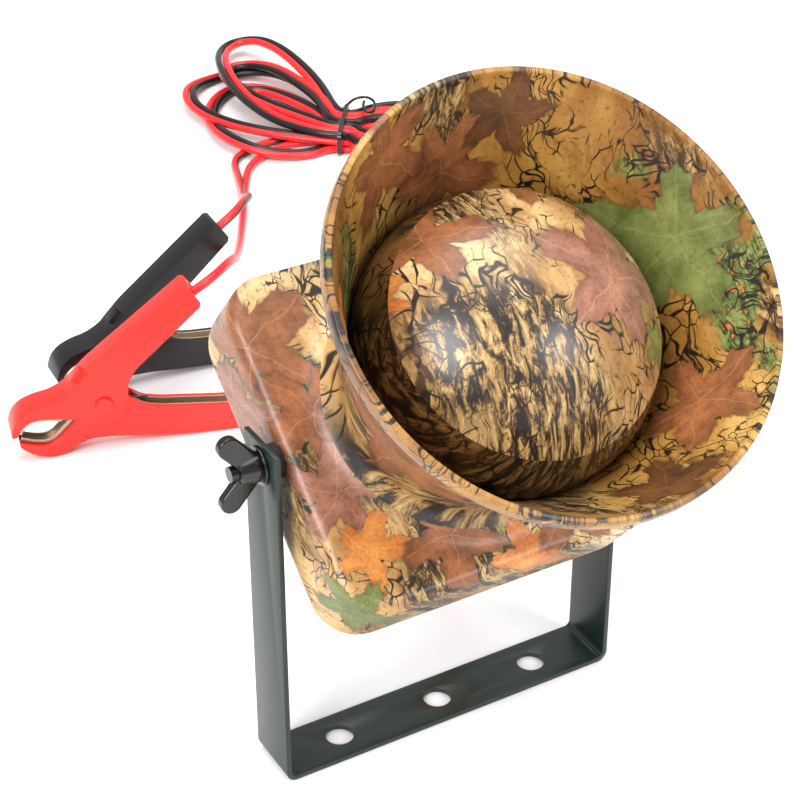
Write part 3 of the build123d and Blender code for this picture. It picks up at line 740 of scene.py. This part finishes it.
def printPoint(tree, film):
    # The same place as nodes, and the place in the head that it comes from
    place = tree.nodes.new("ShaderNodeTexCoord").outputs["Object"]
    away = newNode(tree, "ShaderNodeVectorMath", operation="SUBTRACT")
    tree.links.new(place, away.inputs[0])
    away.inputs[1].default_value = tuple(pivot)

    def inHead(axis):
        dot = newNode(tree, "ShaderNodeVectorMath", operation="DOT_PRODUCT")
        tree.links.new(away.outputs[0], dot.inputs[0])
        dot.inputs[1].default_value = tuple(axis)
        return dot.outputs["Value"]

    sideways, upward = inHead(tiltAxis), inHead(across)
    if film == "horn":
        # The distance from the horn's axis becomes 82 mm at the lip, and e times less for every 75 mm back
        wide = mathNode(tree, "SQRT", mathNode(tree, "ADD", mathNode(tree, "MULTIPLY", sideways, sideways),
                                               mathNode(tree, "MULTIPLY", upward, upward)))
        power = mathNode(tree, "MULTIPLY_ADD", inHead(along), 1 / 0.075, -0.115 / 0.075)
        reach = mathNode(tree, "MULTIPLY", mathNode(tree, "EXPONENT", power), 0.082)
        reach = mathNode(tree, "DIVIDE", reach, mathNode(tree, "MAXIMUM", wide, 0.001))
        out = [mathNode(tree, "MULTIPLY", side, reach) for side in (sideways, upward)]
    else:
        out = [mathNode(tree, "MULTIPLY_ADD", inHead(along), slant, side)
               for side, slant in zip((sideways, upward), filmSlants[film])]
    joined = newNode(tree, "ShaderNodeCombineXYZ")
    tree.links.new(out[0], joined.inputs[0])
    tree.links.new(out[1], joined.inputs[1])
    return joined.outputs[0], away.outputs[0]


leafCover = 0.93
leafLobes = 5


def addLeaf(tree, film, point, colour, leaf):
    node = tree.nodes.new("ShaderNodeGroup")
    node.node_tree = leafGroup
    tree.links.new(point, node.inputs["Point"])
    node.inputs["Centre"].default_value = filmSpot(film, *leaf["at"])
    node.inputs["Turn"].default_value = math.radians(leaf["turn"])
    node.inputs["Size"].default_value = leaf["size"] / 1000
    node.inputs["Lobes"].default_value = leafLobes
    mottle = noise(tree, point, 60.0, 7.0, 0.68)
    skin = ramp(tree, mottle, [(0.36, srgb(*leaf["dark"])), (0.64, srgb(*leaf["light"]))])
    vein = mathNode(tree, "MULTIPLY", node.outputs["Vein"], 0.4)
    skin = mixColour(tree, vein, skin, srgb(*leaf["vein"]))
    grit = smoothMask(tree, noise(tree, point, 700.0, 5.0, 0.75), 0.5, 0.62)
    skin = mixColour(tree, mathNode(tree, "MULTIPLY", grit, 0.32), skin, srgb(62, 34, 18))
    rim = smoothMask(tree, node.outputs["Radius"], 0.72, 1.0)
    skin = mixColour(tree, mathNode(tree, "MULTIPLY", rim, 0.35), skin, srgb(*leaf["dark"]))
    shadow = smoothMask(tree, node.outputs["Radius"], 1.16, 0.98)
    colour = mixColour(tree, mathNode(tree, "MULTIPLY", shadow, 0.55), colour, srgb(30, 20, 12))
    cover = mathNode(tree, "MULTIPLY", node.outputs["Mask"], leafCover)
    return mixColour(tree, cover, colour, skin)


def camoMaterial(name, film, leaves, green, bark, warm, underDomeShade=None, roughness=0.42, coat=0.22):
    material, tree, shader = newMaterial(name)
    point, away = printPoint(tree, film)
    ground = tree.nodes.new("ShaderNodeGroup")
    ground.node_tree = floorGroup
    tree.links.new(point, ground.inputs["Point"])
    for socket, value in (("Green", green), ("Bark", bark), ("Warm", warm)):
        if isinstance(value, (int, float)):
            ground.inputs[socket].default_value = value
        else:
            # A value that drifts along the horn: from one distance along it to another
            reach = newNode(tree, "ShaderNodeVectorMath", operation="DOT_PRODUCT")
            tree.links.new(away, reach.inputs[0])
            reach.inputs[1].default_value = tuple(along)
            drift = smoothMask(tree, reach.outputs["Value"], value[0], value[1])
            tree.links.new(mathNode(tree, "MULTIPLY_ADD", drift, value[3] - value[2], value[2]),
                           ground.inputs[socket])
    colour = ground.outputs["Color"]
    for leaf in leaves:
        colour = addLeaf(tree, film, point, colour, leaf)
    # A multiply over the whole colour; on the skirt it is painted shade under the dome
    if underDomeShade:
        colour = mixColour(tree, 1.0, colour, underDomeShade, "MULTIPLY")
    tree.links.new(colour, shader.inputs["Base Color"])
    height = addSkin(tree, shader, 700, 0.08)
    tree.links.new(mathNode(tree, "MULTIPLY_ADD", height, 0.08, roughness - 0.05), shader.inputs["Roughness"])
    shader.inputs["Coat Weight"].default_value = coat
    shader.inputs["Coat Roughness"].default_value = 0.22
    return material


rust = {"dark": (96, 52, 26), "light": (172, 106, 64), "vein": (206, 150, 100)}
mauve = {"dark": (112, 66, 50), "light": (176, 122, 98), "vein": (208, 158, 128)}
ochre = {"dark": (176, 92, 30), "light": (222, 146, 74), "vein": (236, 186, 118)}
leafGreen = {"dark": (74, 88, 34), "light": (136, 146, 78), "vein": (158, 164, 104)}
hollowBrown = {"dark": (58, 34, 18), "light": (120, 74, 36), "vein": (150, 104, 58)}

bellLeaves = [
    {**leafGreen, "at": (62, 84, 4), "turn": 150, "size": 34},
    {**rust, "at": (-30, 100, 74), "turn": 20, "size": 27},
    {**rust, "at": (-4, 88, 58), "turn": -50, "size": 22},
    {**hollowBrown, "at": (14, 104, 76), "turn": -70, "size": 20},
    {**rust, "at": (60, 96, -50), "turn": 60, "size": 25},
    {**ochre, "at": (-70, 98, 8), "turn": 200, "size": 16},
    {**hollowBrown, "at": (22, 96, -72), "turn": 10, "size": 22},
    {**rust, "at": (-52, 60, -36), "turn": 110, "size": 26}]
housingLeaves = [
    {**rust, "at": (-62, 6, 48), "turn": -30, "size": 34},
    {**mauve, "at": (-68, -8, 20), "turn": 70, "size": 30},
    {**rust, "at": (-54, 8, 4), "turn": 160, "size": 28},
    {**mauve, "at": (-62, 8, -22), "turn": 215, "size": 26},
    {**ochre, "at": (-46, 8, -40), "turn": 20, "size": 20},
    {**rust, "at": (-16, 8, -52), "turn": 100, "size": 28},
    {**ochre, "at": (8, 8, -60), "turn": -20, "size": 22},
    {**leafGreen, "at": (-60, 4, -62), "turn": 45, "size": 22},
    {**rust, "at": (30, 8, -56), "turn": 140, "size": 26},
    {**mauve, "at": (56, 8, -50), "turn": 200, "size": 30},
    {**mauve, "at": (66, -6, 30), "turn": 15, "size": 38},
    {**ochre, "at": (30, -10, 67), "turn": -60, "size": 34}]
domeLeaves = [
    {**mauve, "at": (24, 98, 8), "turn": -65, "size": 36},
    {**rust, "at": (-22, 98, 40), "turn": 15, "size": 24},
    {**rust, "at": (14, 98, 44), "turn": 190, "size": 17},
    {**leafGreen, "at": (46, 88, -26), "turn": 80, "size": 12},
    {**ochre, "at": (-46, 88, 16), "turn": 120, "size": 12}]
camoHorn = camoMaterial("camoHorn", "horn", bellLeaves, (0.02, 0.03, -0.02, 0.02), -0.02,
                        (0.010, 0.035, 0.25, 0.95))
camoBox = camoMaterial("camoBox", "box", housingLeaves, 0.03, 0.02, 0.3)
camoDome = camoMaterial("camoDome", "dome", domeLeaves, -0.09, 0.05, 0.05, roughness=0.36, coat=0.3)
# The skirt is darkened all over by a multiply: painted shade under the dome
camoSkirt = camoMaterial("camoSkirt", "horn", [], -0.1, 0.1, 0.7, underDomeShade=(0.46, 0.38, 0.30))


# Housing and bell
shell = {"lipFront": 115.0, "lipBack": 107.5, "rim": 80.6, "neck": 46.0, "neckFront": 20.0, "front": 8.0,
         "back": -33.0, "wide": 68.0, "tall": 67.0, "corner": 18.0, "frontEdge": 5.0, "backEdge": 12.0,
         "wall": 2.5, "turns": 240}


def steps(first, last, count):
    return [(first[0] + (last[0] - first[0]) * k / count, first[1] + (last[1] - first[1]) * k / count)
            for k in range(count)]


def makeShell():
    turns = np.linspace(0, 2 * math.pi, shell["turns"], endpoint=False)
    rim, lipFront, lipBack, wall, front, back = (shell[key] for key in ("rim", "lipFront", "lipBack", "wall",
                                                                        "front", "back"))
    belly = (shell["neckFront"] + lipBack) / 2 + 2
    rings = []

    def roundRing(radius, u):
        rings.append((np.full(len(turns), radius), u))

    def boxRing(inset, u, corner=None):
        corner = shell["corner"] - inset if corner is None else corner
        rings.append((roundedRay(turns, shell["wide"] - inset, shell["tall"] - inset, max(corner, 1.0)), u))

    for radius, u in steps((14, front - wall), (14, front), 2) + steps((14, front), (36, front), 6):
        roundRing(radius, u)
    for radius, u in arcOf((36, front), (41.0, front + 3.6), (43.5, shell["neckFront"]), 9)[:-1]:
        roundRing(radius, u)
    for radius, u in arcOf((43.5, shell["neckFront"]), (57.5, belly), (rim - 3.6, lipFront - 4), 56):
        roundRing(radius, u)
    for radius, u in ((rim - 2.7, lipFront - 1.2), (rim - 2.5, lipFront - 0.4), (rim - 2.2, lipFront),
                      (rim - 0.9, lipFront), (rim - 0.35, lipFront - 0.35), (rim, lipFront - 1.1),
                      (rim, lipFront - 2.4), (rim, lipBack + 2.2), (rim - 0.3, lipBack + 1.2),
                      (rim - 0.9, lipBack + 0.6),
                      (rim - 2.2, lipBack + 0.2)):
        roundRing(radius, u)
    for radius, u in arcOf((rim - 3.6, lipBack), (60, belly), (shell["neck"], shell["neckFront"]), 52):
        roundRing(radius, u)
    for radius, u in arcOf((shell["neck"], shell["neckFront"]), (49.6, front + 3.4), (58, front), 12)[1:]:
        roundRing(radius, u)
    edge = shell["frontEdge"]
    foot = rings[-1][0]
    boxFoot = roundedRay(turns, shell["wide"] - edge, shell["tall"] - edge, shell["corner"] - edge)
    for share in (0.25, 0.5, 0.75):
        rings.append((foot + (boxFoot - foot) * share, front))
    for step in range(8):
        angle = math.pi / 2 * step / 7
        boxRing(edge * (1 - math.sin(angle)), front - edge * (1 - math.cos(angle)))
    edge = shell["backEdge"]
    for share in np.linspace(0, 1, 8)[1:-1]:
        boxRing(0, front - shell["frontEdge"] + (back + edge - front + shell["frontEdge"]) * share)
    for step in range(11):
        angle = math.pi / 2 * step / 10
        boxRing(edge * (1 - math.cos(angle)), back + edge * (1 - math.sin(angle)))
    opening = ((55.3, back, 8.3), (55.3, back + 3.8, 8.3), (50, back + 3.8, 8), (50, back + 8, 8))
    for half, u, corner in opening:
        rings.append((roundedRay(turns, half, half, corner), u))
    boxRing(wall, back + 8)
    boxRing(wall, (front + back) / 2)
    boxRing(wall, front - wall)
    inner = rings[-1][0]
    for share in (0.35, 0.7):
        rings.append((inner + (14 - inner) * share, front - wall))
    radii = np.array([ring[0] for ring in rings]) / 1000
    depth = np.array([ring[1] for ring in rings])[:, None] / 1000
    spots = headPoint(radii * np.cos(turns), depth + 0 * turns, radii * np.sin(turns))
    faces = gridFaces(len(rings), len(turns), True, True)
    piece = makeObject("housing_and_bell", spots.reshape(-1, 3), faces, [camoHorn, camoBox])
    fixOutward(piece)
    piece.data.set_sharp_from_angle(angle=math.radians(48))
    middles = np.empty(3 * len(piece.data.polygons))
    piece.data.polygons.foreach_get("center", middles)
    reach = (middles.reshape(-1, 3) - np.array(pivot)) @ np.array(along)
    piece.data.polygons.foreach_set("material_index", (reach < 0.0105).astype(np.int32))
    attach(piece, "head")
    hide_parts("bell", "housing")
    return piece


makeShell()
print("housing and bell ready")

# Reflector
reflector = {"radius": 49.7, "front": 85.0, "rise": 24.0, "skirt": 54.4, "skirtFront": 72.4,
             "skirtBack": 58.0, "wall": 2.0}


def ballLine(inset, count):
    # The dome's section, from its pole to its foot: a circle through both
    radius, rise = reflector["radius"], reflector["rise"]
    ball = (radius ** 2 + rise ** 2) / (2 * rise) - inset
    centre = reflector["front"] + rise - (radius ** 2 + rise ** 2) / (2 * rise)
    last = math.acos((reflector["front"] + 0.15 - centre) / ball)
    angles = [last * k / count for k in range(count + 1)]
    return [(ball * math.sin(angle), centre + ball * math.cos(angle)) for angle in angles]


def makeReflector():
    outside = ballLine(0.0, 40)
    inside = ballLine(reflector["wall"], 24)[::-1]
    dome = revolved("dome_skin", outside + inside, [camoDome])
    dome.data.set_sharp_from_angle(angle=math.radians(50))
    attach(dome, "head")
    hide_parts("reflector_dome")
    front, back, wide, wall = (reflector[key] for key in ("skirtFront", "skirtBack", "skirt", "wall"))
    profile = [(49.5, 84.9), (50.4, 83.2), (51.6, 80.2), (52.7, 76.8), (53.5, 73.8), (54.1, 71.6),
               (54.4, 69.4), (54.4, 64), (54.4, back + 1.2), (54.0, back + 0.3), (53.4, back), (53.0, back),
               (52.5, back + 0.4), (wide - wall, back + 1.0), (wide - wall, 66), (wide - wall, front - 2.0),
               (48.2, 84.6), (48.6, 84.9)]
    skirt = revolved("skirt_skin", profile, [camoSkirt])
    skirt.data.set_sharp_from_angle(angle=math.radians(50))
    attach(skirt, "head")
    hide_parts("reflector_skirt")


makeReflector()
print("reflector ready")

# Bracket, clamp and clips
softEdges("bracket", 0.0005, plain["bracketPaint"], "stand")
for side in ("left", "right"):
    softEdges("wing_nut_" + side, 0.0005, plain["blackGloss"], "wing_nut_" + side, angle=28)
    softEdges("washer_" + side, 0.0003, plain["blackGloss"], "head")
    softEdges("friction_pad_" + side, 0.0004, plain["sealRubber"], "head")
for colour in ("red", "black"):
    sleeve = plain[colour + "Sleeve"]
    half = "clip_%s_" % colour
    softEdges(half + "upper", 0.0009, sleeve, half + "upper", angle=24, segments=3)
    softEdges(half + "lower", 0.0008, sleeve, "stand", angle=24, segments=3)
    softEdges(half + "rivet", 0.0002, sleeve, "stand")
    softEdges(half + "core", 0.0002, plain["platedSteel"], "stand")

# Where each clip stands and the way it points, millimetres and degrees, and the bare steel in its jaws: a
# line along the clip and up it for each jaw, and which way is into the mouth
clipStands = {"red": ((-82.7, 254.8), -14.1), "black": ((-46.0, 291.0), -4.0)}
jaws = {
    "lower": {"half": 3.3, "into": 1, "line": [(4.6, 10.2), (7, 9.2), (10, 8.1), (13.5, 7.2), (17, 6.9),
                                               (20, 7.8), (22.6, 9.6), (25, 12), (28, 15), (32, 19)]},
    "upper": {"half": 5.4, "into": -1, "line": [(3.4, 15.8), (4.4, 18.2), (6.4, 20.6), (9, 22.1), (12, 22.8),
                                                (15, 22.9), (20, 22.3), (25, 21.4)]}}


def makeJaw(colour, half, body):
    # A thin channel that follows the jaw. Its two walls stand out of the sleeve, with small teeth.
    jaw = jaws[half]
    line = smoothLine("jawLine", [(s, 0, h) for s, h in jaw["line"]], 8) * 1000
    heading = np.gradient(line, axis=0)
    heading /= np.linalg.norm(heading, axis=1)[:, None]
    into = jaw["into"] * np.stack([-heading[:, 2], 0 * heading[:, 0], heading[:, 0]], 1)
    run = np.cumsum(np.linalg.norm(np.gradient(line, axis=0), axis=1))
    top = 1.9 + 0.35 * np.abs(np.sin(run * 1.9))
    wide, skin, floor = jaw["half"], 0.6, -1.2
    section = [(-wide, top), (-wide, floor), (wide, floor), (wide, top), (wide - skin, top),
               (wide - skin, floor + skin), (skin - wide, floor + skin), (skin - wide, top)]
    rows = np.stack([line + into * np.broadcast_to(rise, run.shape)[:, None] + np.array([0, side, 0])
                     for side, rise in section], 1)
    (x, y), yaw = clipStands[colour]
    turn = math.radians(yaw)
    cos, sin = math.cos(turn), math.sin(turn)
    spots = np.stack([x + rows[..., 0] * cos - rows[..., 1] * sin,
                      y + rows[..., 0] * sin + rows[..., 1] * cos, rows[..., 2]], -1) / 1000
    count = len(section)
    last = (len(line) - 1) * count
    faces = gridFaces(len(line), count, False, True).tolist()
    faces += [list(range(count))[::-1], list(range(last, last + count))]
    name = "clip_%s_%s_jaw" % (colour, half)
    piece = makeObject(name, spots.reshape(-1, 3), faces, [plain["platedSteel"]], False)
    fixOutward(piece)
    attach(piece, body)


for colour in ("red", "black"):
    makeJaw(colour, "lower", "stand")
    makeJaw(colour, "upper", "clip_%s_upper" % colour)

# The tie's own two ends, twisted together and bent over
tieEnd = [(231, 494, 14.5), (236, 497, 15.5), (242, 499.5, 17), (249, 498, 17.5), (251.5, 492, 17),
          (249, 485, 16), (243.5, 479.5, 15.2), (240, 482, 15.8), (241.5, 488, 16.6), (245, 492, 17.4)]
tieLine = smoothLine("tieLine", tieEnd)
tieTail = tubeAlong("tie_tail", tieLine, 0.0009, [plain["blackGloss"]], sides=10)
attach(tieTail, "stand")
print("clips ready")

# Finishes of the CAD pieces that stay
finishes = {}
for finish, names in (
        ("blackMatte", "tone_arm back_panel card_socket cable_gland gland_nut"),
        ("film", "driver_diaphragm"),
        ("zincSteel", "driver_flange driver_yoke usb_socket clip_red_spring clip_black_spring"),
        ("ferrite", "driver_magnet"),
        ("boardGreen", "amp_board key_board"),
        ("sinkMetal", "heat_sink"),
        ("sealRubber", "panel_seal"),
        ("screenGlass", "screen_window"),
        ("screenFace", "screen_module"),
        ("blackGloss", "rocker_frame rocker hank_tie pivot_stud_left pivot_stud_right")):
    for name in names.split():
        finishes[name] = finish
for name in nodes:
    if name.startswith("panel_screw"):
        finishes[name] = "blackGloss"
    elif name.startswith("key_") and name != "key_board":
        finishes[name] = "keyRubber"
for name, finish in finishes.items():
    piece = bpy.data.objects[name]
    if not piece.material_slots:
        piece.data.materials.append(plain[finish])
    for slot in piece.material_slots:
        slot.link = "OBJECT"
        slot.material = plain[finish]
